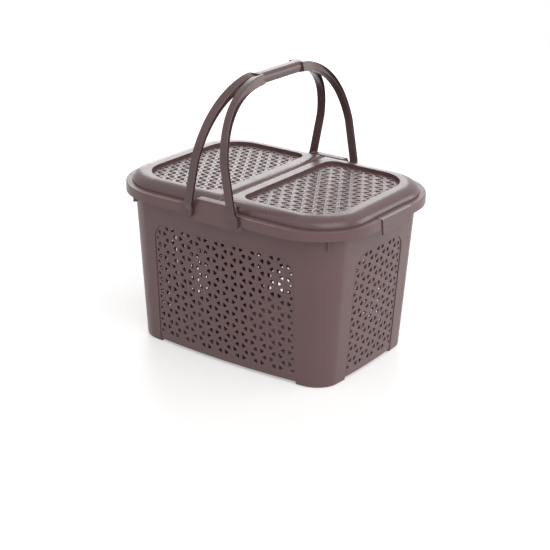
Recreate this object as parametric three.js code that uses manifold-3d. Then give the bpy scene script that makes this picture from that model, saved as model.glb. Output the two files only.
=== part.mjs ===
// Picnic basket moulded in polypropylene: a tapered tub with a skirted rim, two hinged lids that
// meet over the middle, and two swing handles whose grips meet above the lids.
// Millimetres, +Z up. X runs along the basket, the origin is on the ground under its centre.

import * as THREE from 'three';
import { mergeVertices } from 'three/addons/utils/BufferGeometryUtils.js';
import Module from 'manifold-3d';

const wasm = await Module();
wasm.setup();

// Rim, the widest part of the tub
const rimHalfLength = 200;
const rimHalfWidth = 147.5;
const rimCornerRadius = 93;
const rimHeight = 235.8;
const skirtDepth = 13.4;
const rimThickness = 2.2;
const rimEdgeRounding = 1.2;

// Body below the rim: how far the rim overhangs it, and how far it narrows towards the ground
const endOverhang = 18.6;
const sideOverhang = 15;
const bodyDraft = 14.6;
const bodyTopRadius = 40;
const bodyBottomRadius = 31;
const sideBowRadius = 1217;
const bodyWall = 2.8;
const floorThickness = 2.4;
const floorRounding = 4;
const bottomEdgeRounding = 3;

// Sunk vent panels between the corner columns, and the feet that the columns end in
const panelDepth = 1;
const frontColumnWidth = 47.8;
const endColumnWidth = 58.4;
const panelTopMargin = 34.9;
const panelCornerRadius = 25;
const footHeight = 4.6;
const footWidth = 12;

// Vents: triangular openings between strands that cross in three directions
const ventPitch = 30.06;
const ventSpacing = 36.24;
const ventStrandHalfWidth = 5.2;
const ventMargin = 3;
const ventLowest = 12;
const sideVentStart = 10.4;
const endVentStart = 9.2;

// Ribs under the rim at the corners
const ribThickness = 2.8;
const ribReach = 5;
const ribDepth = 18;

// Bay in each long side of the rim, where the handle feet and the lid hinges sit
const bayEndClearance = 0.4;
const bayRampLength = 12;
const bayDepth = 4;
const bayWall = 2.7;
const apronMargin = 3;
const apronDepth = 22;
const apronCornerRadius = 8;
const saddleHeight = 10.2;
const saddleTopHalfLength = 29;
const saddleEndSlope = 5;
const saddleEdgeRounding = 2.5;
const saddleEndRounding = 1;

// Lids
const lidSeatGap = 0.4;
const endLedge = 10.6;
const sideLedge = 14.4;
const lidCornerRadius = 72;
const beadWidth = 20;
const beadHeight = 12.6;
const lidWall = 2;
const lidPanelDepth = 5.5;
const lidPanelMiddleMargin = 18.8;
const lidPanelEndMargin = 28.4;
const lidPanelSideMargin = 23.1;
const lidPanelOuterRadius = 50;
const lidPanelInnerRadius = 18;
const lidMiddleGap = 2.4;
const lidHingeDrop = 7.5;
const lidPinRadius = 2.5;
const lidPinEngagement = 5;
const lidPinClearance = 0.4;
const lidSideClearance = 0.9;
const lidNotchClearance = 1;

// Lift tab at the outer end of each lid, and its seat in the rim
const tabTopHalfWidth = 37;
const tabBottomHalfWidth = 33.5;
const tabThickness = 2.5;
const tabHeight = 22.4;
const tabProud = 1.5;
const tabFlangeThickness = 2;
const tabClearance = 0.4;
const tabSideClearance = 0.6;
const tabFlangeOverlap = 5.4;
const tabSeatMargin = 4.4;

// Handles
const handlePivotX = 39;
const handlePivotDrop = 11.3;
const handleLength = 175.8;
const handleMiddleMargin = 0.95;
const legWidth = 12;
const legThickness = 4.8;
const legEdgeRounding = 0.8;
const legClearance = 0.4;
const legStraightLength = 78;
const legShoulderPull = 14.4;
const legGripPull = 1;
const legGripOverlap = 4;
const shoulderThickness = 13.8;
const shoulderStart = 0.75;
const shoulderSwell = 1.3;
const footStraightLength = 5;
const footEyeRadius = 6.5;
const gripHalfLength = 50;
const gripHeight = 16;
const gripThickness = 10.5;
const gripMiddleGap = 0.6;
const gripEdgeRounding = 2.6;
const handlePinRadius = 3.4;
const handlePinClearance = 0.4;
const handlePinHeadRadius = 5;
const handlePinHeadThickness = 3;

// Smoothness of the curves
const cornerSteps = 12;
const sideSteps = 6;
const beadSteps = 8;
const archSteps = 24;
const roundSteps = 28;

// How far joined solids reach into each other, and how far a cut runs past what it cuts
const weld = 1;
const overrun = 10;

// How far a quarter circle's middle lies inside its corner, as a share of its radius
const arcMiddle = 1 - Math.SQRT1_2;

const skirtBottom = rimHeight - skirtDepth;
const ledgeUnderside = rimHeight - rimThickness;
const bodyTopHalfLength = rimHalfLength - endOverhang;
const bodyTopHalfWidth = rimHalfWidth - sideOverhang;
const bodyBottomHalfLength = bodyTopHalfLength - bodyDraft;
const bodyBottomHalfWidth = bodyTopHalfWidth - bodyDraft;
const frontPanelHalfWidth = bodyBottomHalfLength - frontColumnWidth;
const endPanelHalfWidth = bodyBottomHalfWidth - endColumnWidth;
const panelTopHeight = skirtBottom - panelTopMargin;
const lidHalfLength = rimHalfLength - endLedge;
const lidHalfWidth = rimHalfWidth - sideLedge;
const lidPanelStart = lidMiddleGap / 2 + lidPanelMiddleMargin;
const lidPanelEnd = lidHalfLength - lidPanelEndMargin;
const lidPanelHalfWidth = lidHalfWidth - lidPanelSideMargin;
const lidBase = rimHeight + lidSeatGap;
const lidCrown = lidBase + beadHeight;
const lidHingeHeight = lidCrown - lidHingeDrop;
const lidHingeX = lidMiddleGap / 2 + lidHingeDrop;
const handlePivotHeight = rimHeight - handlePivotDrop;
const handleTopX = gripMiddleGap / 2 + legWidth / 2 + handleMiddleMargin;
const bayHalfLength = handlePivotX + Math.hypot(footStraightLength, legWidth / 2) + bayEndClearance;
const apronHalfLength = bayHalfLength + apronMargin;
const bayFaceY = rimHalfWidth - bayDepth;
const openingHalfWidth = bodyHalfWidthAt(rimHeight) - bodyWall;
const saddleBaseHalfLength = saddleTopHalfLength + saddleEndSlope;
const lidNotchY = openingHalfWidth - lidSideClearance;
const lidNotchHalfLength = saddleBaseHalfLength + lidNotchClearance;
const tabSeatFace = rimHalfLength + tabProud - tabThickness - tabClearance;
const tabSeatHeight = lidBase - tabFlangeThickness - tabClearance;

// Body outline

function bodyShare(height) {
  return height / skirtBottom;
}

function bodyHalfLengthAt(height) {
  return bodyBottomHalfLength + bodyDraft * bodyShare(height);
}

function bodyHalfWidthAt(height) {
  return bodyBottomHalfWidth + bodyDraft * bodyShare(height);
}

function bodyRadiusAt(height) {
  return bodyBottomRadius + (bodyTopRadius - bodyBottomRadius) * bodyShare(height);
}

// Solids from three.js geometry, and back

function solidFrom(geometry) {
  const bare = geometry.clone();
  bare.deleteAttribute('normal');
  bare.deleteAttribute('uv');
  const merged = mergeVertices(bare, 1e-4);
  return new wasm.Manifold(new wasm.Mesh({
    numProp: 3,
    vertProperties: new Float32Array(merged.attributes.position.array),
    triVerts: new Uint32Array(merged.index.array),
  }));
}

function geometryFrom(solid) {
  const mesh = solid.getMesh();
  const geometry = new THREE.BufferGeometry();
  geometry.setAttribute('position', new THREE.BufferAttribute(new Float32Array(mesh.vertProperties), 3));
  geometry.setIndex(new THREE.BufferAttribute(new Uint32Array(mesh.triVerts), 1));
  geometry.computeVertexNormals();
  return geometry;
}

function joined(solids) {
  return solids.reduce((whole, piece) => whole.add(piece));
}

// Triangular openings between the strands, kept where they lie inside the panel's shape. The shape and
// the openings are drawn as [across, along], and one strand runs along the middle of the panel.
function vents(panel, start, lowest, toPlan) {
  const outline = panel.getPoints(cornerSteps);
  const isInside = (point) => point.y >= lowest && outline.every((corner, index) => {
    const side = outline[(index + 1) % outline.length].clone().sub(corner);
    return side.length() < 1e-6 || side.cross(point.clone().sub(corner)) / side.length() >= ventMargin;
  });
  const openings = [];
  const count = Math.ceil(rimHalfLength / ventPitch);
  for (let line = -count; line < count; line++) {
    const near = line * ventPitch;
    const far = near + ventPitch;
    for (let step = -count; step <= count; step++) {
      const along = start + (step + (line & 1) / 2) * ventSpacing;
      const half = ventSpacing / 2;
      openings.push([[near, along], [far, along + half], [near, along + 2 * half]]);
      openings.push([[far, along + half], [far, along + 3 * half], [near, along + 2 * half]]);
    }
  }
  return openings
    .map((corners) => drawnIn(corners.map(([a, b]) => new THREE.Vector2(a, b)), ventStrandHalfWidth))
    .filter((corners) => corners.every(isInside))
    .map((corners) => new THREE.Shape(corners.map(toPlan)));
}

// A triangle with each side moved in by the same distance
function drawnIn(corners, distance) {
  const sides = corners.map((corner, i) => corners[(i + 1) % 3].distanceTo(corners[(i + 2) % 3]));
  const around = sides[0] + sides[1] + sides[2];
  const centre = new THREE.Vector2();
  corners.forEach((corner, i) => centre.addScaledVector(corner, sides[i] / around));
  const first = corners[1].clone().sub(corners[0]);
  const second = corners[2].clone().sub(corners[0]);
  const inradius = Math.abs(first.cross(second)) / around;
  return corners.map((corner) => corner.clone().lerp(centre, distance / inradius));
}

// A level outline with rounded corners, counter-clockwise from above
function roundedOutline(halfLength, halfWidth, radius, height) {
  const points = [];
  const corners = [[1, -1, -90], [1, 1, 0], [-1, 1, 90], [-1, -1, 180]];
  for (const [signX, signY, startAngle] of corners) {
    for (let step = 0; step <= cornerSteps; step++) {
      const angle = THREE.MathUtils.degToRad(startAngle + 90 * step / cornerSteps);
      points.push(new THREE.Vector3(
        signX * (halfLength - radius) + radius * Math.cos(angle),
        signY * (halfWidth - radius) + radius * Math.sin(angle),
        height,
      ));
    }
  }
  return points;
}

// A closed solid through level outlines that have as many points each, lowest first
function loft(outlines) {
  const count = outlines[0].length;
  const positions = outlines.flat().flatMap((point) => point.toArray());
  const indices = [];
  for (let level = 0; level + 1 < outlines.length; level++) {
    for (let side = 0; side < count; side++) {
      const next = (side + 1) % count;
      const low = level * count;
      const high = low + count;
      indices.push(low + side, low + next, high + next);
      indices.push(low + side, high + next, high + side);
    }
  }
  const top = (outlines.length - 1) * count;
  for (let side = 1; side + 1 < count; side++) {
    indices.push(0, side + 1, side);
    indices.push(top, top + side, top + side + 1);
  }
  const geometry = new THREE.BufferGeometry();
  geometry.setAttribute('position', new THREE.Float32BufferAttribute(positions, 3));
  geometry.setIndex(indices);
  return solidFrom(geometry);
}

function block(low, high) {
  const geometry = new THREE.BoxGeometry(high[0] - low[0], high[1] - low[1], high[2] - low[2]);
  geometry.translate((low[0] + high[0]) / 2, (low[1] + high[1]) / 2, (low[2] + high[2]) / 2);
  return solidFrom(geometry);
}

function polygon(points) {
  return new THREE.Shape(points.map(([a, b]) => new THREE.Vector2(a, b)));
}

function extruded(shape, depth) {
  return new THREE.ExtrudeGeometry(shape, { depth, bevelEnabled: false, curveSegments: cornerSteps });
}

// Prisms: the shape is drawn in the two named directions and runs along the third
function prismAlongZ(shape, low, high) {
  return solidFrom(extruded(shape, high - low).translate(0, 0, low));
}

function prismAlongY(shape, low, high) {
  return solidFrom(extruded(shape, high - low).rotateX(Math.PI / 2).translate(0, high, 0));
}

function prismAlongX(shape, low, high) {
  const geometry = extruded(shape, high - low).rotateX(Math.PI / 2).rotateZ(Math.PI / 2);
  return solidFrom(geometry.translate(low, 0, 0));
}

function cylinderAlongY(radius, x, height, low, high) {
  const geometry = new THREE.CylinderGeometry(radius, radius, high - low, roundSteps);
  return solidFrom(geometry.translate(x, (low + high) / 2, height));
}

function onBothSides(makeSide) {
  return joined([1, -1].map(makeSide));
}

// A span from inner to outer, mirrored when it belongs to the side or end of sign -1
function span(sign, inner, outer) {
  return sign > 0 ? [inner, outer] : [-outer, -inner];
}

// Tub

// Draws a point in, so that straight sides become wide arcs
function bowed(point, halfLength, halfWidth) {
  return new THREE.Vector3(
    point.x * (1 - point.y ** 2 / (2 * sideBowRadius * halfLength)),
    point.y * (1 - point.x ** 2 / (2 * sideBowRadius * halfWidth)),
    point.z,
  );
}

function bodyOutline(height, inset) {
  const halfLength = bodyHalfLengthAt(height) - inset;
  const halfWidth = bodyHalfWidthAt(height) - inset;
  const corners = roundedOutline(halfLength, halfWidth, bodyRadiusAt(height) - inset, height);
  const points = corners.flatMap((point, index) => {
    const next = corners[(index + 1) % corners.length];
    const steps = (index + 1) % (cornerSteps + 1) === 0 ? sideSteps : 1;
    return Array.from({ length: steps }, (_, step) => point.clone().lerp(next, step / steps));
  });
  return points.map((point) => bowed(point, halfLength, halfWidth));
}

function rimOutline(height, inset) {
  return roundedOutline(rimHalfLength - inset, rimHalfWidth - inset, rimCornerRadius - inset, height);
}

function bodyShell() {
  return loft([
    bodyOutline(0, bottomEdgeRounding),
    bodyOutline(bottomEdgeRounding * arcMiddle, bottomEdgeRounding * arcMiddle),
    bodyOutline(bottomEdgeRounding, 0),
    bodyOutline(rimHeight, 0),
  ]);
}

function bodyCavity() {
  const floorTop = footHeight + floorThickness;
  return loft([
    bodyOutline(floorTop, bodyWall + floorRounding),
    bodyOutline(floorTop + floorRounding * arcMiddle, bodyWall + floorRounding * arcMiddle),
    bodyOutline(floorTop + floorRounding, bodyWall),
    bodyOutline(rimHeight + overrun, bodyWall),
  ]);
}

function rimFlange() {
  const outside = loft([
    rimOutline(skirtBottom, 0),
    rimOutline(rimHeight - rimEdgeRounding, 0),
    rimOutline(rimHeight - rimEdgeRounding * arcMiddle, rimEdgeRounding * arcMiddle),
    rimOutline(rimHeight, rimEdgeRounding),
  ]);
  const inside = loft([
    rimOutline(skirtBottom - overrun, rimThickness),
    rimOutline(ledgeUnderside, rimThickness),
  ]);
  return outside.subtract(inside);
}

// A vent panel's outline: round upper corners, running out through the bottom edge
function panelShape(halfWidth) {
  const shape = new THREE.Shape();
  const radius = panelCornerRadius;
  shape.moveTo(-halfWidth, -overrun);
  shape.lineTo(halfWidth, -overrun);
  shape.lineTo(halfWidth, panelTopHeight - radius);
  shape.absarc(halfWidth - radius, panelTopHeight - radius, radius, 0, Math.PI / 2);
  shape.absarc(radius - halfWidth, panelTopHeight - radius, radius, Math.PI / 2, Math.PI);
  return shape;
}

// Vents in all four panels; each prism runs through the panel at the far side too
function panelVents() {
  const reach = rimHalfLength;
  const asDrawn = (point) => point;
  return joined([
    prismAlongY(vents(panelShape(frontPanelHalfWidth), sideVentStart, ventLowest, asDrawn), -reach, reach),
    prismAlongX(vents(panelShape(endPanelHalfWidth), endVentStart, ventLowest, asDrawn), -reach, reach),
  ]);
}

function panelRecesses() {
  const reach = rimHalfLength;
  const panels = joined([
    prismAlongY(panelShape(frontPanelHalfWidth), -reach, reach),
    prismAlongX(panelShape(endPanelHalfWidth), -reach, reach),
  ]);
  const sunkFace = loft([bodyOutline(-2 * overrun, panelDepth), bodyOutline(rimHeight, panelDepth)]);
  return panels.subtract(sunkFace);
}

// The ground under the body, all but the four corner columns' feet
function footGaps() {
  const reach = rimHalfLength;
  return joined([
    block([-frontPanelHalfWidth, -reach, -overrun], [frontPanelHalfWidth, reach, footHeight]),
    block([-reach, -endPanelHalfWidth, -overrun], [reach, endPanelHalfWidth, footHeight]),
    loft([bodyOutline(-overrun, footWidth), bodyOutline(footHeight, footWidth)]),
  ]);
}

function cornerRibs() {
  const height = skirtBottom - ribDepth;
  const halfLength = bodyHalfLengthAt(height);
  const halfWidth = bodyHalfWidthAt(height);
  const inward = bodyRadiusAt(height) * arcMiddle;
  const corner = bowed(new THREE.Vector3(halfLength - inward, halfWidth - inward, 0), halfLength, halfWidth);
  const length = weld + ribReach;
  const top = ledgeUnderside + weld;
  return joined([[1, 1], [-1, 1], [-1, -1], [1, -1]].map(([signX, signY]) => {
    const geometry = new THREE.BoxGeometry(length, ribThickness, top - height);
    geometry.translate(length / 2 - weld, 0, (top + height) / 2);
    geometry.rotateZ(Math.atan2(signY, signX));
    geometry.translate(signX * corner.x, signY * corner.y, 0);
    return solidFrom(geometry);
  }));
}

// Plan of the bay's face: level in the middle, with a ramp out to the rim's face at each end
function bayLine(offset) {
  const rampEnd = bayHalfLength + bayRampLength;
  return [
    [-rampEnd, rimHalfWidth - offset],
    [-bayHalfLength, bayFaceY - offset],
    [bayHalfLength, bayFaceY - offset],
    [rampEnd, rimHalfWidth - offset],
  ];
}

function bayWallSolid(side) {
  const plan = [...bayLine(0), ...bayLine(bayWall).reverse()];
  const shape = polygon(plan.map(([x, y]) => [x, side * y]));
  return prismAlongZ(shape, skirtBottom, ledgeUnderside + weld);
}

function bayCut(side) {
  const rampEnd = bayHalfLength + bayRampLength;
  const outside = [[rampEnd, rimHalfWidth + overrun], [-rampEnd, rimHalfWidth + overrun]];
  const shape = polygon([...bayLine(0), ...outside].map(([x, y]) => [x, side * y]));
  return prismAlongZ(shape, skirtBottom - overrun, rimHeight + overrun);
}

function apron(side) {
  const low = rimHeight - apronDepth;
  const high = ledgeUnderside + weld;
  const radius = apronCornerRadius;
  const shape = new THREE.Shape();
  shape.moveTo(-apronHalfLength, high);
  shape.lineTo(-apronHalfLength, low + radius);
  shape.absarc(radius - apronHalfLength, low + radius, radius, Math.PI, 1.5 * Math.PI);
  shape.absarc(apronHalfLength - radius, low + radius, radius, 1.5 * Math.PI, 2 * Math.PI);
  shape.lineTo(apronHalfLength, high);
  return prismAlongY(shape, ...span(side, bayFaceY - bayWall, bayFaceY));
}

function saddle(side) {
  const top = rimHeight + saddleHeight;
  const round = saddleEndRounding;
  const rightEnd = [
    [saddleBaseHalfLength, ledgeUnderside],
    [saddleBaseHalfLength, rimHeight],
    [saddleTopHalfLength, top - round],
    [saddleTopHalfLength - round, top],
  ];
  const leftEnd = rightEnd.map(([x, height]) => [-x, height]).reverse();
  const shape = polygon([...rightEnd, ...leftEnd]);
  const body = prismAlongY(shape, ...span(side, openingHalfWidth, bayFaceY));
  const cut = saddleEdgeRounding;
  const edge = polygon([
    [side * (bayFaceY - cut), top + weld],
    [side * (bayFaceY - cut), top],
    [side * (bayFaceY - cut * arcMiddle), top - cut * arcMiddle],
    [side * bayFaceY, top - cut],
    [side * (bayFaceY + weld), top - cut],
    [side * (bayFaceY + weld), top + weld],
  ]);
  return body.subtract(prismAlongX(edge, -saddleBaseHalfLength, saddleBaseHalfLength));
}

// Seat for a lid's lift tab: the ledge is stepped down and the skirt set back
function tabSeatBacking(end) {
  const halfWidth = tabTopHalfWidth + tabSideClearance + tabSeatMargin;
  const top = ledgeUnderside + weld;
  const [skirtLow, skirtHigh] = span(end, tabSeatFace - rimThickness, tabSeatFace);
  const [ledgeLow, ledgeHigh] = span(end, bodyHalfLengthAt(rimHeight) - bodyWall, tabSeatFace);
  return joined([
    block([skirtLow, -halfWidth, skirtBottom], [skirtHigh, halfWidth, top]),
    block([ledgeLow, -halfWidth, tabSeatHeight - rimThickness], [ledgeHigh, halfWidth, top]),
  ]);
}

// The tab's face between two heights, tapering downwards
function tabShape(extra, low, high) {
  const bottom = rimHeight - tabHeight;
  const slope = (tabTopHalfWidth - tabBottomHalfWidth) / tabHeight;
  const halfWidthAt = (height) => tabBottomHalfWidth + slope * (height - bottom) + extra;
  return polygon([
    [-halfWidthAt(low), low],
    [halfWidthAt(low), low],
    [halfWidthAt(high), high],
    [-halfWidthAt(high), high],
  ]);
}

function tabSeatCut(end) {
  const halfWidth = tabTopHalfWidth + tabSideClearance;
  const outside = rimHalfLength + overrun;
  const [ledgeLow, ledgeHigh] = span(end, lidHalfLength - tabFlangeOverlap - tabClearance, outside);
  const slot = tabShape(tabSideClearance, skirtBottom - overrun, rimHeight + overrun);
  return joined([
    prismAlongX(slot, ...span(end, tabSeatFace, outside)),
    block([ledgeLow, -halfWidth, tabSeatHeight], [ledgeHigh, halfWidth, rimHeight + overrun]),
  ]);
}

function tubSolid() {
  const sides = [1, -1];
  const shell = joined([
    bodyShell().subtract(panelRecesses()),
    rimFlange(),
    cornerRibs(),
    ...sides.map(bayWallSolid),
    ...sides.map(tabSeatBacking),
  ]);
  const opened = shell
    .subtract(joined(sides.map(bayCut)))
    .add(joined(sides.flatMap((side) => [apron(side), saddle(side)])))
    .subtract(bodyCavity())
    .subtract(panelVents())
    .subtract(footGaps())
    .subtract(joined(sides.map(tabSeatCut)));
  const pinBores = joined(sides.flatMap((side) => [1, -1].flatMap((end) => [
    cylinderAlongY(handlePinRadius + handlePinClearance, end * handlePivotX, handlePivotHeight,
      ...span(side, bayFaceY - bayWall - weld, bayFaceY + weld)),
    cylinderAlongY(lidPinRadius + lidPinClearance, end * lidHingeX, lidHingeHeight,
      ...span(side, openingHalfWidth - weld, openingHalfWidth + lidPinEngagement + lidPinClearance)),
  ])));
  return opened.subtract(pinBores);
}

// Lids

function lidDome(inset) {
  const outlines = [];
  for (let step = 0; step <= beadSteps; step++) {
    const angle = Math.PI / 2 * step / beadSteps;
    const inward = inset + (beadWidth - inset) * (1 - Math.cos(angle));
    const height = lidBase + (beadHeight - inset) * Math.sin(angle);
    outlines.push(roundedOutline(
      lidHalfLength - inward,
      lidHalfWidth - inward,
      lidCornerRadius - inward,
      height,
    ));
  }
  return outlines;
}

// Side view of one lid: its middle edge is an arc about the hinge, so that it turns past its neighbour
function lidProfile(inset, low) {
  const shape = new THREE.Shape();
  shape.moveTo(lidMiddleGap / 2 + inset, low);
  shape.lineTo(rimHalfLength, low);
  shape.lineTo(rimHalfLength, lidCrown + overrun);
  shape.lineTo(lidHingeX, lidCrown + overrun);
  shape.lineTo(lidHingeX, lidHingeHeight + lidHingeDrop - inset);
  shape.absarc(lidHingeX, lidHingeHeight, lidHingeDrop - inset, Math.PI / 2, Math.PI);
  return shape;
}

// Plan of the sunk panel in a lid, with tight corners at the middle and wide ones at the end
function lidPanelShape(grow) {
  const start = lidPanelStart - grow;
  const end = lidPanelEnd + grow;
  const half = lidPanelHalfWidth + grow;
  const outer = lidPanelOuterRadius + grow;
  const inner = lidPanelInnerRadius + grow;
  const shape = new THREE.Shape();
  shape.absarc(start + inner, inner - half, inner, Math.PI, 1.5 * Math.PI);
  shape.absarc(end - outer, outer - half, outer, 1.5 * Math.PI, 2 * Math.PI);
  shape.absarc(end - outer, half - outer, outer, 0, Math.PI / 2);
  shape.absarc(start + inner, half - inner, inner, Math.PI / 2, Math.PI);
  return shape;
}

// Vents in the sunk panel, with a strand along its middle line
function lidVents(low, high) {
  const acrossAndAlong = new THREE.Shape(
    lidPanelShape(0).getPoints(cornerSteps).map((point) => new THREE.Vector2(-point.y, point.x)));
  const middle = (lidPanelStart + lidPanelEnd) / 2;
  const openings = vents(acrossAndAlong, middle, 0, (point) => new THREE.Vector2(point.y, point.x));
  return prismAlongZ(openings, low, high);
}

function liftTab() {
  const outerFace = rimHalfLength + tabProud;
  const innerEnd = lidHalfLength - tabFlangeOverlap;
  const flangeLow = lidBase - tabFlangeThickness;
  return joined([
    prismAlongX(tabShape(0, rimHeight - tabHeight, lidBase), outerFace - tabThickness, outerFace),
    block([innerEnd, -tabTopHalfWidth, flangeLow], [outerFace, tabTopHalfWidth, lidBase]),
    block([innerEnd, -tabTopHalfWidth, flangeLow], [lidHalfLength, tabTopHalfWidth, lidBase + lidWall]),
  ]);
}

function lidSolid() {
  const panelFloor = lidCrown - lidPanelDepth;
  const reach = lidHalfWidth + overrun;
  const below = lidBase - overrun;
  const above = lidCrown + overrun;
  const notchBlocks = (grow) => onBothSides((side) => {
    const [low, high] = span(side, lidNotchY - grow, reach);
    return block([0, low, below], [lidNotchHalfLength + grow, high, above]);
  });
  const outside = loft(lidDome(0)).intersect(prismAlongY(lidProfile(0, lidBase), -reach, reach));
  const mouth = roundedOutline(
    lidHalfLength - lidWall, lidHalfWidth - lidWall, lidCornerRadius - lidWall, below);
  const hollow = loft([mouth, ...lidDome(lidWall)])
    .intersect(prismAlongY(lidProfile(lidWall, below), -reach, reach))
    .subtract(prismAlongZ(lidPanelShape(lidWall), panelFloor - lidWall, above))
    .subtract(notchBlocks(lidWall));
  const pins = onBothSides((side) => cylinderAlongY(lidPinRadius, lidHingeX, lidHingeHeight,
    ...span(side, lidNotchY - lidWall / 2, openingHalfWidth + lidPinEngagement)));
  return outside
    .subtract(prismAlongZ(lidPanelShape(0), panelFloor, above))
    .subtract(hollow)
    .subtract(notchBlocks(0))
    .subtract(lidVents(below, above))
    .add(pins)
    .add(liftTab());
}

// Handles

const legFootPoints = 3;
const handleLean = Math.asin((handlePivotX - handleTopX) / handleLength);
const legCentreY = rimHalfWidth + legClearance + legThickness / 2;

function handleMatrix() {
  const along = new THREE.Vector3(-Math.sin(handleLean), 0, Math.cos(handleLean));
  const outward = new THREE.Vector3(Math.cos(handleLean), 0, Math.sin(handleLean));
  const matrix = new THREE.Matrix4().makeBasis(new THREE.Vector3(0, 1, 0), along, outward);
  return matrix.setPosition(handlePivotX, 0, handlePivotHeight);
}

// Middle line of one leg from its foot to the grip, as pairs of Y and height along the handle
function legLine() {
  const footY = bayFaceY + legClearance + legThickness / 2;
  const arch = new THREE.CubicBezierCurve(
    new THREE.Vector2(legCentreY, legStraightLength),
    new THREE.Vector2(legCentreY - legShoulderPull, handleLength),
    new THREE.Vector2(gripHalfLength + legGripPull, handleLength),
    new THREE.Vector2(gripHalfLength - legGripOverlap, handleLength),
  );
  return [
    new THREE.Vector2(footY, 0),
    new THREE.Vector2(footY, footStraightLength),
    new THREE.Vector2(legCentreY, footStraightLength + bayRampLength),
    ...arch.getPoints(archSteps),
  ];
}

// A leg swells along its arch, from its own thickness to nearly the height of the grip
function legThicknessAt(index) {
  const share = Math.max(index - legFootPoints, 0) / archSteps;
  const swell = Math.min(share / shoulderStart, 1) ** shoulderSwell;
  return legThickness + (shoulderThickness - legThickness) * swell;
}

function legSolid(side) {
  const line = legLine();
  const outer = [];
  const inner = [];
  line.forEach((point, index) => {
    const before = line[Math.max(index - 1, 0)];
    const after = line[Math.min(index + 1, line.length - 1)];
    const normal = new THREE.Vector2(after.y - before.y, before.x - after.x).normalize();
    const half = legThicknessAt(index) / 2;
    outer.push(point.clone().addScaledVector(normal, half));
    inner.push(point.clone().addScaledVector(normal, -half));
  });
  const outline = [...outer, ...inner.reverse()].map((point) => [side * point.x, point.y]);
  const geometry = new THREE.ExtrudeGeometry(polygon(outline), {
    depth: legWidth - 2 * legEdgeRounding,
    bevelEnabled: true,
    bevelThickness: legEdgeRounding,
    bevelSize: legEdgeRounding,
    bevelOffset: -legEdgeRounding,
    bevelSegments: 1,
  });
  geometry.translate(0, 0, legEdgeRounding - legWidth / 2);
  return solidFrom(geometry.applyMatrix4(handleMatrix()));
}

// The grip's section stands upright, flat towards the other handle and rounded on the far side
function gripSolid() {
  const middle = handlePivotHeight + handleLength * Math.cos(handleLean);
  const low = middle - gripHeight / 2;
  const high = middle + gripHeight / 2;
  const inside = gripMiddleGap / 2;
  const outside = inside + gripThickness;
  const round = gripEdgeRounding;
  const shape = new THREE.Shape();
  shape.moveTo(inside, low);
  shape.lineTo(outside - round, low);
  shape.absarc(outside - round, low + round, round, -Math.PI / 2, 0);
  shape.absarc(outside - round, high - round, round, 0, Math.PI / 2);
  shape.lineTo(inside, high);
  return prismAlongY(shape, -gripHalfLength, gripHalfLength);
}

function footSolid(side) {
  const inner = bayFaceY + legClearance;
  const behind = bayFaceY - bayWall - legClearance;
  const roundAt = (radius, low, high) => cylinderAlongY(
    radius, handlePivotX, handlePivotHeight, ...span(side, low, high));
  return joined([
    roundAt(footEyeRadius, inner, inner + legThickness),
    roundAt(handlePinRadius, behind - weld, inner + weld),
    roundAt(handlePinHeadRadius, behind - handlePinHeadThickness, behind),
  ]);
}

function handleSolid() {
  return joined([gripSolid(), ...[1, -1].flatMap((side) => [legSolid(side), footSolid(side)])]);
}

// Assembly

const bodyColour = 0x6e5c5c;
const lidColour = 0x74625f;
const handleColour = 0x5a4b4b;

function addPiece(group, name, solid, colour, turn) {
  const material = new THREE.MeshStandardMaterial({ color: colour, roughness: 0.42, metalness: 0 });
  const mesh = new THREE.Mesh(geometryFrom(solid), material);
  mesh.name = name;
  mesh.rotation.z = turn;
  group.add(mesh);
}

const basket = new THREE.Group();
const lid = lidSolid();
const handle = handleSolid();
addPiece(basket, 'tub', tubSolid(), bodyColour, 0);
addPiece(basket, 'right_lid', lid, lidColour, 0);
addPiece(basket, 'left_lid', lid, lidColour, Math.PI);
addPiece(basket, 'right_handle', handle, handleColour, 0);
addPiece(basket, 'left_handle', handle, handleColour, Math.PI);

export default basket;
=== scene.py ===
# A moulded polypropylene picnic basket: a tub, two hinged lids and two swing handles.
# Sizes are in millimetres in the basket's own frame, and turn to metres where a mesh is made.

import math

import bmesh
import bpy
import numpy as np
from mathutils import Matrix, Vector
from mathutils.geometry import delaunay_2d_cdt


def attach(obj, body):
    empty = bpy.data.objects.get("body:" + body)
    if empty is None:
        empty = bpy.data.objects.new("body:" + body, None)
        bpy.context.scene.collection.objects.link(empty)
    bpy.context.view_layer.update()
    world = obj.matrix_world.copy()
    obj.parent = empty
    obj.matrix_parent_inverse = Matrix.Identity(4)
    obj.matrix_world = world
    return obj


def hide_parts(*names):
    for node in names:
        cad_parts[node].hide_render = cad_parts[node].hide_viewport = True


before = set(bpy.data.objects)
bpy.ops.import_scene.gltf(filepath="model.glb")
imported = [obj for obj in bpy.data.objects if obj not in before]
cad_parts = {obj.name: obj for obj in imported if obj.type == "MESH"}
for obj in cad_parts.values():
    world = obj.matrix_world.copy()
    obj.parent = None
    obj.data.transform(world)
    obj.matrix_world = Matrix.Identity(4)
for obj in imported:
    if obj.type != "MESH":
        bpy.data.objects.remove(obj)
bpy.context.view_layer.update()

# Tub. The real one is a single injection moulding in polypropylene: smooth corner columns and rim,
# and four sunk panels moulded as a net of crossing strands with a rounded triangular vent in
# every opening. It carries the lids in two saddles and the handles on the sides of its rim.

MM = 0.001

# The net has upright strands a pitch apart, crossed by two slanting families at every crossing
strand_pitch = 15.03
crossing_spacing = 18.12
long_side_crossing = (0, 10.4)
end_crossing = (0, 9.2)
side_strand_half_width = 2.75
side_strand_crown = 0.6
strand_flatness = 4
strand_shoulder = 1.1
strand_steps = 9

# Shares of a strand's height at a crossing, and of its way to the next one where it is highest
crossing_dip = 0.1
strand_peak = 0.78

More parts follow.
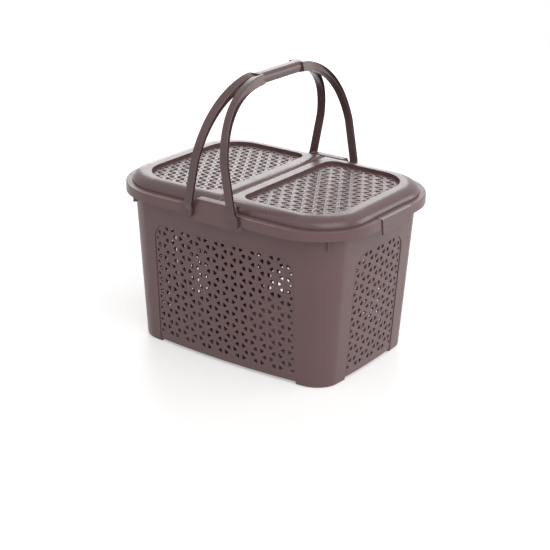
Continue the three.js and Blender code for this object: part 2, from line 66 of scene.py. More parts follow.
vent_corner_radius = 1.1
vent_corner_steps = 3
vent_corner_reach = 0.45
least_vent_side = 1.6
least_vent_area = 9

# A vent's lip starts this far out, and rolls in by rings at (distance out, depth below the strand)
vent_lip = 0.7
vent_lip_roundings = ((0.35, 0.1), (0.1, 0.32), (0, 0.75))

# The strand along a panel's edge, and how far in from the edge the relief takes to rise
border_strand = 2.6
border_fade = 2.5

skirt_bottom = 222.4
body_bottom_half_length = 166.8
body_bottom_half_width = 117.9
body_draft = 14.6
side_bow_radius = 1217
body_wall = 2.8
panel_depth = 1.0
panel_corner_radius = 25
front_panel_half_width = 119
end_panel_half_width = 59.5
panel_top = 187.5
vent_field_bottom = 9.5
panel_border = 0.8
panel_foot_steps = 24
panel_top_steps = 20
panel_corner_steps = 12
seam_depth = 0.3
cutter_reach = 12
edge_rounding = 0.4
edge_rounding_steps = 2
sharp_angle = math.radians(50)
flat_angle = math.radians(0.4)
smooth_angle = math.radians(38)
doubles_distance = 0.002
sliver_length = 0.001
triangulation_gap = 1e-5


def new_piece(name, points, faces):
    """A mesh object from points in millimetres."""
    mesh = bpy.data.meshes.new(name)
    mesh.from_pydata([Vector(point) * MM for point in points], [], faces)
    piece = bpy.data.objects.new(name, mesh)
    bpy.context.scene.collection.objects.link(piece)
    clean(piece)
    return piece


def clean(piece):
    """Merges doubled points, drops slivers and turns the faces outwards."""
    work = bmesh.new()
    work.from_mesh(piece.data)
    bmesh.ops.remove_doubles(work, verts=work.verts, dist=doubles_distance * MM)
    bmesh.ops.dissolve_degenerate(work, edges=work.edges, dist=sliver_length * MM)
    bmesh.ops.recalc_face_normals(work, faces=work.faces)
    work.to_mesh(piece.data)
    work.free()


def from_frame(name, node):
    """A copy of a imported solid, for a finer piece to be worked from."""
    piece = bpy.data.objects.new(name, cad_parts[node].data.copy())
    bpy.context.scene.collection.objects.link(piece)
    piece.data.materials.clear()
    clean(piece)
    return piece


def settle(piece):
    """Turns what the piece's modifiers show into its own mesh."""
    graph = bpy.context.evaluated_depsgraph_get()
    mesh = bpy.data.meshes.new_from_object(piece.evaluated_get(graph))
    piece.modifiers.clear()
    piece.data = mesh


def merge(piece, other, operation):
    """Cuts another closed piece out of this one, or joins it on, and deletes it."""
    modifier = piece.modifiers.new(operation, "BOOLEAN")
    modifier.operation = operation
    modifier.solver = "MANIFOLD"
    modifier.object = other
    settle(piece)
    bpy.data.objects.remove(other)
    clean(piece)


def round_edges(piece):
    """Rounds the moulding's sharp edges, as every mould does."""
    work = bmesh.new()
    work.from_mesh(piece.data)
    bmesh.ops.dissolve_limit(work, angle_limit=flat_angle, verts=work.verts, edges=work.edges)
    work.to_mesh(piece.data)
    work.free()
    bevel = piece.modifiers.new("edges", "BEVEL")
    bevel.width = edge_rounding * MM
    bevel.segments = edge_rounding_steps
    bevel.limit_method = "ANGLE"
    bevel.angle_limit = sharp_angle
    bevel.miter_outer = "MITER_SHARP"
    settle(piece)


def arc(centre, radius, start, end, steps):
    """Points on a circle between two angles in degrees."""
    angles = [math.radians(start + (end - start) * step / steps) for step in range(steps + 1)]
    return [(centre[0] + radius * math.cos(a), centre[1] + radius * math.sin(a)) for a in angles]


def strand_triangles(low, high, crossing):
    """The triangles between the strands' middle lines, over a box given as (across, along)."""
    triangles = []
    half = crossing_spacing / 2
    first_line = math.floor((low[0] - crossing[0]) / strand_pitch) - 1
    last_line = math.ceil((high[0] - crossing[0]) / strand_pitch) + 1
    first_step = math.floor((low[1] - crossing[1]) / crossing_spacing) - 2
    last_step = math.ceil((high[1] - crossing[1]) / crossing_spacing) + 2
    for line in range(first_line, last_line):
        near = crossing[0] + line * strand_pitch
        far = near + strand_pitch
        for step in range(first_step, last_step):
            along = crossing[1] + step * crossing_spacing + (line % 2) * half
            triangles.append(((near, along), (far, along + half), (near, along + 2 * half)))
            triangles.append(((far, along + half), (far, along + 3 * half), (near, along + 2 * half)))
    return triangles


def vent_corners(triangle, border, strand_half_width):
    """The opening between three strands, cut short where it would cross the panel's border strand."""
    corners = [Vector(corner) for corner in triangle]
    sides = [(corners[i - 2] - corners[i - 1]).length for i in range(3)]
    centre = sum((corner * side for corner, side in zip(corners, sides)), Vector((0, 0))) / sum(sides)
    inradius = (corners[1] - corners[0]).cross(corners[2] - corners[0]) / sum(sides)
    opening = [corner.lerp(centre, strand_half_width / inradius) for corner in corners]
    for start, end in zip(border, border[1:] + border[:1]):
        side = Vector(end) - Vector(start)
        heights = [side.cross(corner - Vector(start)) for corner in opening]
        kept = []
        for i, corner in enumerate(opening):
            if heights[i - 1] * heights[i] < 0:
                share = heights[i - 1] / (heights[i - 1] - heights[i])
                kept.append(opening[i - 1].lerp(corner, share))
            if heights[i] >= 0:
                kept.append(corner)
        opening = kept
    return [corner for i, corner in enumerate(opening)
            if (corner - opening[i - 1]).length > least_vent_side]


def corners_area(corners):
    """Area inside corners that run anticlockwise."""
    return sum(corners[i - 1].cross(corners[i]) for i in range(len(corners))) / 2


def vent_ring(corners, growth):
    """The edge of a vent with rounded corners, or a line around it at an even distance."""
    points = []
    for i, corner in enumerate(corners):
        back = corners[i - 1] - corner
        ahead = corners[(i + 1) % len(corners)] - corner
        half_angle = back.angle(ahead) / 2
        most = vent_corner_reach * min(back.length, ahead.length)
        radius = min(vent_corner_radius, most * math.tan(half_angle))
        inward = (back.normalized() + ahead.normalized()).normalized()
        middle = corner + inward * (radius / math.sin(half_angle))
        spoke = corner + back.normalized() * (radius / math.tan(half_angle)) - middle
        spoke = spoke.normalized() * (radius + growth)
        sweep = math.pi - 2 * half_angle
        for step in range(vent_corner_steps + 1):
            turned = spoke.copy()
            turned.rotate(Matrix.Rotation(sweep * step / vent_corner_steps, 2))
            points.append(tuple(middle + turned))
    return points


def strand_relief(points, crossing, strand_half_width):
    """Share of the strands' full height. Like a woven strip, each strand comes up slowly from under
    one crossing and goes down steeply under the next, the three families turning one way."""
    across = points[:, 0] - crossing[0]
    along = points[:, 1] - crossing[1]
    height = np.zeros(len(points))
    families = ((0, crossing_spacing), (-strand_pitch, -crossing_spacing / 2),
                (strand_pitch, -crossing_spacing / 2))
    for i, (run, rise) in enumerate(families):
        length = math.hypot(run, rise)
        other = families[(i + 1) % 3]
        offset = across * rise - along * run
        step = other[0] * rise - other[1] * run
        line = np.round(offset / step)
        distance = np.abs(offset - line * step) / length
        travel = ((across - line * other[0]) * run + (along - line * other[1]) * rise) / length ** 2
        travel = travel - np.floor(travel)
        rise_share = np.interp(travel, (0, strand_peak, 1), (0, 0.5, 1))
        bulge = crossing_dip + (1 - crossing_dip) * np.sin(math.pi * rise_share)
        back = np.clip(1 - (distance / strand_half_width) ** strand_flatness, 0, 1)
        height = np.maximum(height, back * bulge)
    return height


def distance_inside(points, outline):
    """How far each point lies inside a closed outline, with a minus sign outside it."""
    points = np.asarray(points, float)
    start = np.asarray(outline, float)
    side = np.roll(start, -1, axis=0) - start
    to_point = points[:, None, :] - start[None, :, :]
    share = np.clip((to_point * side).sum(2) / (side * side).sum(1), 0, 1)
    nearest = np.sqrt(((to_point - share[:, :, None] * side) ** 2).sum(2)).min(1)
    above = start[:, 1] > points[:, 1, None]
    crosses = above != np.roll(above, -1, axis=1)
    rise = np.where(side[:, 1] == 0, 1, side[:, 1])
    meets = start[:, 0] + (points[:, 1, None] - start[:, 1]) / rise * side[:, 0]
    inside = (crosses & (points[:, 0, None] < meets)).sum(1) % 2 == 1
    return np.where(inside, nearest, -nearest)


def triangulated(loops, extra_points, extra_edges):
    """Triangles inside the first loop and outside the others, with the loops' points found again."""
    points = [Vector(point) for loop in loops for point in loop] + [Vector(p) for p in extra_points]
    faces = []
    start = 0
    for loop in loops:
        faces.append(list(range(start, start + len(loop))))
        start += len(loop)
    edges = [(start + a, start + b) for a, b in extra_edges]
    only_inside = 1
    flat, _, triangles, origins, _, inside_of = delaunay_2d_cdt(points, edges, faces, only_inside,
                                                                triangulation_gap)
    kept = [face for face, owners in zip(triangles, inside_of) if max(owners) == 0]
    found = {source: index for index, sources in enumerate(origins) for source in sources}
    return np.array([tuple(point) for point in flat]), kept, [[found[i] for i in loop] for loop in faces]


def strand_sheet(outline_at, crossing, place, face_depth, back_depth, crown, strand_half_width):
    """One vented panel as a closed sheet. outline_at gives its edge for a growth, and place turns
    (across, along, depth) to a point; its edge runs on into the wall around it, out of sight."""
    outline = outline_at(0)
    flat_outline = np.array(outline)
    border = outline_at(-border_strand)
    triangles = strand_triangles(flat_outline.min(0), flat_outline.max(0), crossing)
    vents = [vent_corners(triangle, border, strand_half_width) for triangle in triangles]
    vents = [corners for corners in vents if len(corners) > 2 and corners_area(corners) > least_vent_area]

    crest = {}
    crest_edges = set()

    def crest_point(point):
        key = (round(point[0], 3), round(point[1], 3))
        return crest.setdefault(key, len(crest))

    def add_crest(line):
        clear = distance_inside(line, outline) > panel_border
        for i in range(len(line) - 1):
            if clear[i] and clear[i + 1]:
                crest_edges.add(tuple(sorted((crest_point(line[i]), crest_point(line[i + 1])))))

    for triangle in triangles:
        for a, b in zip(triangle, triangle[1:] + triangle[:1]):
            shares = [step / strand_steps for step in range(strand_steps + 1)]
            add_crest([tuple(Vector(a).lerp(Vector(b), share)) for share in shares])
    for corners in vents:
        shoulder = vent_ring(corners, strand_half_width - strand_shoulder)
        add_crest(shoulder + shoulder[:1])

    loops = [outline] + [vent_ring(corners, vent_lip) for corners in vents]
    flat, faces, found = triangulated(loops, list(crest), sorted(crest_edges))
    fade = np.clip((distance_inside(flat, outline) - panel_border) / border_fade, 0, 1)
    relief = crown * strand_relief(flat, crossing, strand_half_width) * fade
    points = [place(across, along, face_depth - height) for (across, along), height in zip(flat, relief)]

    back_rings = [vent_ring(corners, 0) for corners in vents]
    back_flat, back_faces, back_found = triangulated([outline] + back_rings, [], [])
    back_start = len(points)
    points += [place(across, along, back_depth) for across, along in back_flat]
    faces = faces + [[back_start + i for i in reversed(face)] for face in back_faces]

    def add_ring(ring, depths):
        start = len(points)
        points.extend(place(across, along, depth) for (across, along), depth in zip(ring, depths))
        return list(range(start, start + len(ring)))

    def add_band(first, second):
        for i in range(len(first)):
            after = (i + 1) % len(first)
            faces.append([first[i], first[after], second[after], second[i]])

    for number, corners in enumerate(vents):
        ring = found[number + 1]
        lip_depth = face_depth - relief[ring]
        for growth, drop in vent_lip_roundings:
            below = add_ring(vent_ring(corners, growth), lip_depth + drop)
            add_band(below, ring)
            ring = below
        add_band([back_start + i for i in back_found[number + 1]], ring)

    grown = outline_at(seam_depth)
    front_edge = add_ring(grown, [face_depth + seam_depth] * len(grown))
    back_edge = add_ring(grown, [back_depth - seam_depth] * len(grown))
    add_band(found[0], front_edge)
    add_band(front_edge, back_edge)
    add_band(back_edge, [back_start + i for i in back_found[0]])
    return new_piece("sheet", points, faces)


def straight(start, end, steps):
    """Points from one end of a straight line up to but not on the other."""
    return [tuple(Vector(start).lerp(Vector(end), step / steps)) for step in range(steps)]


def upright_panel(half_width):
    """Edge of a tub panel's vented field: round at its upper corners, level at its foot."""
    def outline_at(grow):
        half = half_width - panel_border + grow
        top = panel_top - panel_border + grow
        radius = panel_corner_radius - panel_border + grow
        bottom = vent_field_bottom - grow
        points = straight((-half, bottom), (half, bottom), panel_foot_steps) + [(half, bottom)]
        points += arc((half - radius, top - radius), radius, 0, 90, panel_corner_steps)
        points += straight((half - radius, top), (radius - half, top), panel_top_steps)[1:]
        points += arc((radius - half, top - radius), radius, 90, 180, panel_corner_steps)
        return points
    return outline_at


def half_length_at(height):
    """Half the body's length at a height, which grows upwards with the mould's draft."""
    return body_bottom_half_length + body_draft * height / skirt_bottom


def half_width_at(height):
    return body_bottom_half_width + body_draft * height / skirt_bottom


def bow(across, half, half_across):
    """How far a side has drawn in from its middle, on a wide arc."""
    squeeze = 1 - half ** 2 / (2 * side_bow_radius * half_across)
    return (across / squeeze) ** 2 / (2 * side_bow_radius)


def on_long_side(side):
    """Turns (across, height, depth) to a point in the front (-1) or back (1) wall of the body."""
    def place(across, height, depth):
        half = half_width_at(height)
        return (across, side * (half - bow(across, half, half_length_at(height)) - depth), height)
    return place


def on_end(side):
    """Turns (across, height, depth) to a point in the right (1) or left (-1) end of the body."""
    def place(across, height, depth):
        half = half_length_at(height)
        return (side * (half - bow(across, half, half_width_at(height)) - depth), across, height)
    return place


def prism(name, outline, place, near, far):
    """A closed solid with one outline from one depth to another."""
    count = len(outline)
    points = [place(across, along, near) for across, along in outline]
    points += [place(across, along, far) for across, along in outline]
    faces = [list(range(count)), list(range(2 * count - 1, count - 1, -1))]
    faces += [[i, (i + 1) % count, count + (i + 1) % count, count + i] for i in range(count)]
    return new_piece(name, points, faces)


tub = from_frame("tub_moulding", "tub")
round_edges(tub)
panels = [(front_panel_half_width, long_side_crossing, on_long_side(-1)),
          (front_panel_half_width, long_side_crossing, on_long_side(1)),
          (end_panel_half_width, end_crossing, on_end(1)),
          (end_panel_half_width, end_crossing, on_end(-1))]
for half_width, crossing, place in panels:
    outline_at = upright_panel(half_width)
    merge(tub, prism("cutter", outline_at(0), place, -cutter_reach, cutter_reach), "DIFFERENCE")
    sheet = strand_sheet(outline_at, crossing, place, panel_depth, body_wall, side_strand_crown,
                         side_strand_half_width)
    merge(tub, sheet, "UNION")


def linear(code):
    """Linear colour of an sRGB hex value."""
    parts = [int(code[i:i + 2], 16) / 255 for i in (1, 3, 5)]
    return [part / 12.92 if part <= 0.04045 else ((part + 0.055) / 1.055) ** 2.4 for part in parts] + [1]


def add_node(tree, kind, settings, links):
    """A shader node with its properties or socket values set and its inputs linked."""
    node = tree.nodes.new(kind)
    for name, value in settings.items():
        if isinstance(name, str) and hasattr(node, name):
            setattr(node, name, value)
        else:
            node.inputs[name].default_value = value
    for name, socket in links.items():
        tree.links.new(socket, node.inputs[name])
    return node


def moulded_polypropylene(name, colour, flow_colour, roughness):
    """Satin polypropylene, injection moulded in a spark-eroded steel tool: coloured through, with a
    low sheen that handling has made a little uneven, a very fine grain, and faint clouds where the
    melt flowed and cooled unevenly."""
    flow_cloud_size = 45
    handled_patch_size = 16
    # The tool's grain is about 0.1 mm across, and is drawn at 0.7 mm so that it shows
    grain_size = 0.7
    grain_depth = 0.05
    material = bpy.data.materials.new(name)
    material.use_nodes = True
    tree = material.node_tree
    tree.nodes.clear()
    place = add_node(tree, "ShaderNodeTexCoord", {}, {})
    flow = add_node(tree, "ShaderNodeTexNoise",
                    {"Scale": 1 / (flow_cloud_size * MM), "Detail": 3, "Roughness": 0.55},
                    {"Vector": place.outputs["Object"]})
    tint = add_node(tree, "ShaderNodeMix", {"data_type": "RGBA", 6: linear(colour), 7: linear(flow_colour)},
                    {0: flow.outputs[0]})
    grain = add_node(tree, "ShaderNodeTexNoise",
                     {"Scale": 1 / (grain_size * MM), "Detail": 2, "Roughness": 0.6},
                     {"Vector": place.outputs["Object"]})
    handled = add_node(tree, "ShaderNodeTexNoise",
                       {"Scale": 1 / (handled_patch_size * MM), "Detail": 4, "Roughness": 0.6},
                       {"Vector": place.outputs["Object"]})
    sheen = add_node(tree, "ShaderNodeMapRange",
                     {"From Min": 0.3, "From Max": 0.7, "To Min": roughness - 0.04,
                      "To Max": roughness + 0.05}, {0: handled.outputs[0]})
    bump = add_node(tree, "ShaderNodeBump", {"Strength": 0.12, "Distance": grain_depth * MM},
                    {"Height": grain.outputs[0]})
    surface = add_node(tree, "ShaderNodeBsdfPrincipled", {"IOR": 1.49},
                       {"Base Color": tint.outputs[2], "Roughness": sheen.outputs[0],
                        "Normal": bump.outputs[0]})
    add_node(tree, "ShaderNodeOutputMaterial", {}, {"Surface": surface.outputs[0]})
    return material


def finish_piece(piece, material):
    """Smooth shading that breaks at the moulding's sharp edges, and the piece's material."""
    mesh = piece.data
    mesh.materials.clear()
    mesh.materials.append(material)
    mesh.polygons.foreach_set("use_smooth", [True] * len(mesh.polygons))
    mesh.polygons.foreach_set("material_index", [0] * len(mesh.polygons))
    mesh.set_sharp_from_angle(angle=smooth_angle)
    normals = piece.modifiers.new("normals", "WEIGHTED_NORMAL")
    normals.keep_sharp = True


tub_polypropylene = moulded_polypropylene("tub_polypropylene", "#6D5152", "#664B4C", 0.36)
finish_piece(tub, tub_polypropylene)
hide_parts("tub")
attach(tub, "tub")

# Lids. Two polypropylene mouldings alike, each a hollow rolled border around a sunk panel of the same
# net of strands, with a lift tab at its outer end. Pins moulded on its sides near the middle of the
# basket snap into bores in the tub, and each lid turns up about its own pair.

lid_panel_face = 243.3
lid_strand_crown = 1.2
lid_strand_half_width = 2.9
lid_net_thickness = 1.3
lid_panel_start = 20
lid_panel_end = 161
lid_panel_half_width = 110
lid_panel_outer_radius = 50
lid_panel_inner_radius = 18
outer_corner_steps = 16
inner_corner_steps = 8
lid_cutter_depths = (-2, 6)
lid_crossing = (0, (lid_panel_start + lid_panel_end) / 2)


def lid_panel(grow):
    """Edge of a lid's vented field: tight corners near its hinge, wide ones at its outer end."""
    start = lid_panel_start + panel_border - grow
    end = lid_panel_end - panel_border + grow
    half = lid_panel_half_width - panel_border + grow
    outer = lid_panel_outer_radius - panel_border + grow
    inner = lid_panel_inner_radius - panel_border + grow
    points = arc((inner - half, start + inner), inner, 180, 270, inner_corner_steps)
    points += arc((half - inner, start + inner), inner, 270, 360, inner_corner_steps)
    points += arc((half - outer, end - outer), outer, 0, 90, outer_corner_steps)
    points += arc((outer - half, end - outer), outer, 90, 180, outer_corner_steps)
    return points


def on_lid(across, along, depth):
    """A point of the shut right lid: across the basket, away from its middle, and down."""
    return (along, across, lid_panel_face - depth)


right_lid = from_frame("right_lid_moulding", "right_lid")
round_edges(right_lid)
merge(right_lid, prism("cutter", lid_panel(0), on_lid, *lid_cutter_depths), "DIFFERENCE")
sheet = strand_sheet(lid_panel, lid_crossing, on_lid, 0, lid_net_thickness, lid_strand_crown,
                     lid_strand_half_width)
merge(right_lid, sheet, "UNION")
left_lid = bpy.data.objects.new("left_lid_moulding", right_lid.data.copy())
bpy.context.scene.collection.objects.link(left_lid)
left_lid.data.transform(Matrix.Rotation(math.pi, 4, "Z"))

lid_polypropylene = moulded_polypropylene("lid_polypropylene", "#674D4E", "#604748", 0.27)
for lid, body in ((right_lid, "right_lid"), (left_lid, "left_lid")):
    finish_piece(lid, lid_polypropylene)
    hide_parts(body)
    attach(lid, body)

# Handles. Two polypropylene arches alike, each a grooved leg on either side of the basket and a half
# grip between them. A pin at each foot snaps through the tub's side, and the handles swing up until
# the flat faces of the two half grips meet in the hand.

pivot_x = 39
pivot_height = 224.5
handle_length = 175.8
handle_top_x = 7.25
rim_half_width = 147.5
bay_depth = 4
bay_wall = 2.7
leg_clearance = 0.4
leg_width = 12
leg_thickness = 4.78
leg_straight_length = 78
leg_ramp = (5, 17)
lower_knee_rounding = 2
upper_knee_rounding = 3
knee_steps = 4
straight_stations = (28, 40, 54, 68)
shoulder_pull = 14.4
shoulder_thickness = 13.8
shoulder_start = 0.75
shoulder_swell = 1.3
arch_steps = 48
outer_flange = 1.3
inner_flange = 0.8
outer_rounding = 1.1
outer_rounding_steps = 4
inner_rounding = 0.6
inner_rounding_steps = 3
groove_depth = 4
least_groove_depth = 0.01
groove_draft = 0.2

# A leg's side grooves start between these heights, and end between these shares of its arch
groove_start = (9, 16)
groove_end = (0.3, 0.72)

eye_radius = 6.5
pin_radius = 3.4
pin_sides = 48
pin_overlap = 1
pin_head_radius = 5
pin_head_thickness = 3
grip_half_length = 50
arch_overrun = 1
grip_arch_end = 46
grip_height = 15.98
grip_face = 10.8
grip_gap = 0.3
grip_rounding = 7.4
grip_rounding_steps = 8
collar_face = 13.4
collar_gap = 0.6
collar_height = 15.4
collar_reach = (45.6, 49.2)

bay_face = rim_half_width - bay_depth
foot_y = bay_face + leg_clearance + leg_thickness / 2
leg_y = rim_half_width + leg_clearance + leg_thickness / 2
handle_lean = math.asin((pivot_x - handle_top_x) / handle_length)
grip_middle = pivot_height + handle_length * math.cos(handle_lean)


def on_handle(across, along, outward):
    """A point of the raised right handle: across the basket, up the handle, away from the left one."""
    return (pivot_x - along * math.sin(handle_lean) + outward * math.cos(handle_lean), across,
            pivot_height + along * math.cos(handle_lean) + outward * math.sin(handle_lean))


def eased(value, start, end):
    """Rises smoothly from 0 to 1 between two values."""
    share = min(max((value - start) / (end - start), 0), 1)
    return share * share * (3 - 2 * share)


def leg_stations():
    """Middle line of a leg as (across, along, thickness, groove depth), from its foot to the grip."""
    ramp_start, ramp_end = leg_ramp
    # The lower leg's corners, as (across, along, length of the rounding)
    knees = [(foot_y, 0, 0), (foot_y, ramp_start, lower_knee_rounding),
             (leg_y, ramp_end, upper_knee_rounding), (leg_y, leg_straight_length, 0)]
    line = [knees[0][:2]]
    for before, knee, after in zip(knees, knees[1:], knees[2:]):
        corner = Vector(knee[:2])
        entry = corner + (Vector(before[:2]) - corner).normalized() * knee[2]
        leave = corner + (Vector(after[:2]) - corner).normalized() * knee[2]
        for step in range(knee_steps + 1):
            share = step / knee_steps
            line.append(tuple(entry.lerp(corner, share).lerp(corner.lerp(leave, share), share)))
    line += [(leg_y, along) for along in straight_stations]
    stations = []
    for y, along in line:
        stations.append((y, along, leg_thickness, groove_depth * eased(along, *groove_start)))
    points = [Vector((leg_y, leg_straight_length)), Vector((leg_y - shoulder_pull, handle_length)),
              Vector((grip_half_length + arch_overrun, handle_length)),
              Vector((grip_arch_end, handle_length))]
    for step in range(arch_steps + 1):
        share = step / arch_steps
        ladder = points
        while len(ladder) > 1:
            ladder = [a.lerp(b, share) for a, b in zip(ladder, ladder[1:])]
        swell = min(share / shoulder_start, 1) ** shoulder_swell
        thickness = leg_thickness + (shoulder_thickness - leg_thickness) * swell
        groove = groove_depth * (1 - eased(share, *groove_end))
        stations.append((*ladder[0], thickness, groove))
    return stations


def leg_section(thickness, groove):
    """A leg cut across, as (outwards from the basket, away from the other handle): a web between an
    outer and an inner flange, with the outer flange's edges well rounded."""
    half = thickness / 2
    width = leg_width / 2
    lip = half - outer_flange
    inner_lip = inner_flange - half
    web = width - groove - least_groove_depth
    side = arc((half - outer_rounding, width - outer_rounding), outer_rounding, 0, 90,
               outer_rounding_steps)
    side += [(lip, width), (lip - groove_draft, web), (inner_lip + groove_draft, web), (inner_lip, width)]
    side += arc((inner_rounding - half, width - inner_rounding), inner_rounding, 90, 180,
                inner_rounding_steps)
    return side + [(depth, -across) for depth, across in reversed(side)]


def leg(side):
    """One leg of the right handle, on the far (1) or near (-1) side of the basket."""
    stations = leg_stations()
    points = []
    faces = []
    for i, (y, along, thickness, groove) in enumerate(stations):
        before = stations[max(i - 1, 0)]
        after = stations[min(i + 1, len(stations) - 1)]
        run = Vector((after[0] - before[0], after[1] - before[1])).normalized()
        for depth, outward in leg_section(thickness, groove):
            points.append(on_handle(side * (y + depth * run.y), along - depth * run.x, outward))
    count = len(points) // len(stations)
    for i in range(len(stations) - 1):
        for j in range(count):
            after = (j + 1) % count
            faces.append([i * count + j, i * count + after, (i + 1) * count + after, (i + 1) * count + j])
    faces += [list(range(count)), list(range(len(points) - 1, len(points) - 1 - count, -1))]
    return new_piece("leg", points, faces)


def along_y(across, height, depth):
    """Lays an outline in the basket's side view, with its depth across the basket."""
    return (across, depth, height)


def half_grip(near, face, height, low_y, high_y):
    """A half grip's length, flat towards the other handle and rounded on its far side."""
    low = grip_middle - height / 2
    high = grip_middle + height / 2
    centre = face - grip_rounding
    outline = [(near, low)]
    outline += arc((centre, low + grip_rounding), grip_rounding, -90, 0, grip_rounding_steps)
    outline += arc((centre, high - grip_rounding), grip_rounding, 0, 90, grip_rounding_steps)
    outline.append((near, high))
    return prism("grip", outline, along_y, low_y, high_y)


def pin(radius, low_y, high_y):
    """A round disc or pin about the right handle's pivot."""
    last_side = pin_sides - 1
    outline = arc((pivot_x, pivot_height), radius, 0, 360 * last_side / pin_sides, last_side)
    return prism("pin", outline, along_y, low_y, high_y)


right_handle = half_grip(grip_gap, grip_face, grip_height, -grip_half_length, grip_half_length)
right_handle.name = "right_handle_moulding"
for side in (1, -1):
    merge(right_handle, leg(side), "UNION")
    collar = sorted(side * reach for reach in collar_reach)
    merge(right_handle, half_grip(collar_gap, collar_face, collar_height, *collar), "UNION")
    front = bay_face + leg_clearance
    behind = bay_face - bay_wall - leg_clearance
    discs = [(eye_radius, front, front + leg_thickness),
             (pin_radius, behind - pin_overlap, front + pin_overlap),
             (pin_head_radius, behind - pin_head_thickness, behind)]
    for radius, near, far in discs:
        merge(right_handle, pin(radius, *sorted((side * near, side * far))), "UNION")
left_handle = bpy.data.objects.new("left_handle_moulding", right_handle.data.copy())
bpy.context.scene.collection.objects.link(left_handle)
left_handle.data.transform(Matrix.Rotation(math.pi, 4, "Z"))

handle_polypropylene = moulded_polypropylene("handle_polypropylene", "#5F4647", "#584041", 0.24)
for handle, body in ((right_handle, "right_handle"), (left_handle, "left_handle")):
    finish_piece(handle, handle_polypropylene)
    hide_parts(body)
    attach(handle, body)

# Floor. A white painted board that the basket stands on. Towards the camera it glows enough to meet
# the white background, the more so far out, where the lamps hardly reach it, and it still shows the
# basket's soft shadow.

floor_size = 4.0
floor_glow = 0.4
floor_edge_glow = 0.75
floor_glow_reach = (0.8, 1.8)
board_mottle_size = 3


def seen_by_eye(tree):
    """One towards the camera, also by way of a gloss or through glass, and nothing otherwise."""
    path = add_node(tree, "ShaderNodeLightPath", {}, {})
    straight_or_gloss = add_node(tree, "ShaderNodeMath", {"operation": "ADD"},
                                 {0: path.outputs["Is Camera Ray"], 1: path.outputs["Is Glossy Ray"]})
    return add_node(tree, "ShaderNodeMath", {"operation": "ADD", "use_clamp": True},
                    {0: straight_or_gloss.outputs[0], 1: path.outputs["Is Transmission Ray"]})


floor_mesh = bpy.data.meshes.new("floor")
reach = floor_size / 2
corners = [(-reach, -reach, 0), (reach, -reach, 0), (reach, reach, 0), (-reach, reach, 0)]
floor_mesh.from_pydata(corners, [], [(0, 1, 2, 3)])
floor = bpy.data.objects.new("floor", floor_mesh)
bpy.context.scene.collection.objects.link(floor)

# Painted board: white, with a faint mottle in the paint and a soft gloss
white_board = bpy.data.materials.new("white_board")
white_board.use_nodes = True
tree = white_board.node_tree
tree.nodes.clear()
seen = seen_by_eye(tree)
place = add_node(tree, "ShaderNodeTexCoord", {}, {})
from_middle = add_node(tree, "ShaderNodeVectorMath", {"operation": "LENGTH"}, {0: place.outputs["Object"]})
rise = add_node(tree, "ShaderNodeMapRange",
                {"From Min": floor_glow_reach[0], "From Max": floor_glow_reach[1],
                 "To Min": floor_glow, "To Max": floor_edge_glow}, {0: from_middle.outputs["Value"]})
glow = add_node(tree, "ShaderNodeMath", {"operation": "MULTIPLY"}, {0: seen.outputs[0], 1: rise.outputs[0]})
mottle = add_node(tree, "ShaderNodeTexNoise", {"Scale": 1 / (board_mottle_size * MM), "Detail": 2}, {})
tint = add_node(tree, "ShaderNodeMix", {"data_type": "RGBA", 6: linear("#E2E1E0"), 7: linear("#E6E5E4")},
                {0: mottle.outputs[0]})
board = add_node(tree, "ShaderNodeBsdfPrincipled", {"Roughness": 0.5, "Emission Color": (1, 1, 1, 1)},
                 {"Base Color": tint.outputs[2], "Emission Strength": glow.outputs[0]})
add_node(tree, "ShaderNodeOutputMaterial", {}, {"Surface": board.outputs[0]})
floor_mesh.materials.append(white_board)

# Light. A white room that glows evenly, with a large soft box high on the right, a weak one in front,
# and two low ones behind the basket that draw the sheen along its lids and handles.

room_light = 0.4
lamp_distance = 2.4
basket_middle = Vector((0, 0, 180)) * MM

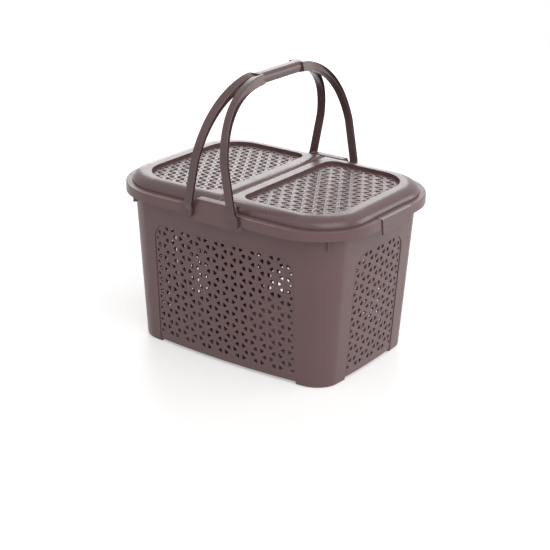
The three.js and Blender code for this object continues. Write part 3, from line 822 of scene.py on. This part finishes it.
world = bpy.data.worlds.new("white_room")
bpy.context.scene.world = world
world.use_nodes = True
tree = world.node_tree
tree.nodes.clear()
seen = seen_by_eye(tree)
strength = add_node(tree, "ShaderNodeMapRange", {"To Min": room_light, "To Max": 1.0}, {0: seen.outputs[0]})
room = add_node(tree, "ShaderNodeBackground", {"Color": (1, 1, 1, 1)}, {"Strength": strength.outputs[0]})
add_node(tree, "ShaderNodeOutputWorld", {}, {"Surface": room.outputs[0]})


def direction(turn, rise):
    """A unit vector straight out from the front long side, turned to the right and then up."""
    return Vector((math.cos(rise) * math.sin(turn), -math.cos(rise) * math.cos(turn), math.sin(rise)))


def soft_box(name, azimuth, elevation, width, power):
    """A square lamp that faces the basket, turned by its azimuth to the right of the long side."""
    lamp = bpy.data.lights.new(name, "AREA")
    lamp.shape = "SQUARE"
    lamp.size = width
    lamp.energy = power
    box = bpy.data.objects.new(name, lamp)
    bpy.context.scene.collection.objects.link(box)
    reach = direction(math.radians(azimuth), math.radians(elevation))
    box.location = basket_middle + reach * lamp_distance
    box.rotation_euler = reach.to_track_quat("Z", "Y").to_euler()
    box.visible_camera = False


soft_box("back_light", azimuth=218, elevation=17, width=1.3, power=11)
soft_box("far_right_light", azimuth=135, elevation=15, width=1.2, power=12)
soft_box("right_light", azimuth=64, elevation=46, width=2.2, power=33)
soft_box("front_light", azimuth=-15, elevation=40, width=2.2, power=5)

# Camera. It looks down on the basket's corner from the right of the long side, level but for one
# degree, with the lens shifted so that uprights stay nearly parallel.

camera_turn = math.radians(35.21)
camera_rise = math.radians(19.53)
camera_roll = math.radians(1.0)
camera_distance = 2067.7 * MM
camera_target = Vector((1.24, 0, 181.73)) * MM
image_width = 550
image_middle = (275, 275)
view_axis = (275, 220)
focal_length = 1449.9

camera_data = bpy.data.cameras.new("camera")
camera_data.sensor_width = 36
camera_data.lens = camera_data.sensor_width * focal_length / image_width
camera_data.shift_x = (image_middle[0] - view_axis[0]) / image_width
camera_data.shift_y = (view_axis[1] - image_middle[1]) / image_width
camera_data.clip_end = 100
camera = bpy.data.objects.new("camera", camera_data)
bpy.context.scene.collection.objects.link(camera)
reach = direction(camera_turn, camera_rise)
camera.location = camera_target + reach * camera_distance
aim = reach.to_track_quat("Z", "Y").to_matrix() @ Matrix.Rotation(camera_roll, 3, "Z")
camera.rotation_euler = aim.to_euler()
bpy.context.scene.camera = camera

bpy.context.scene.view_settings.view_transform = "Standard"
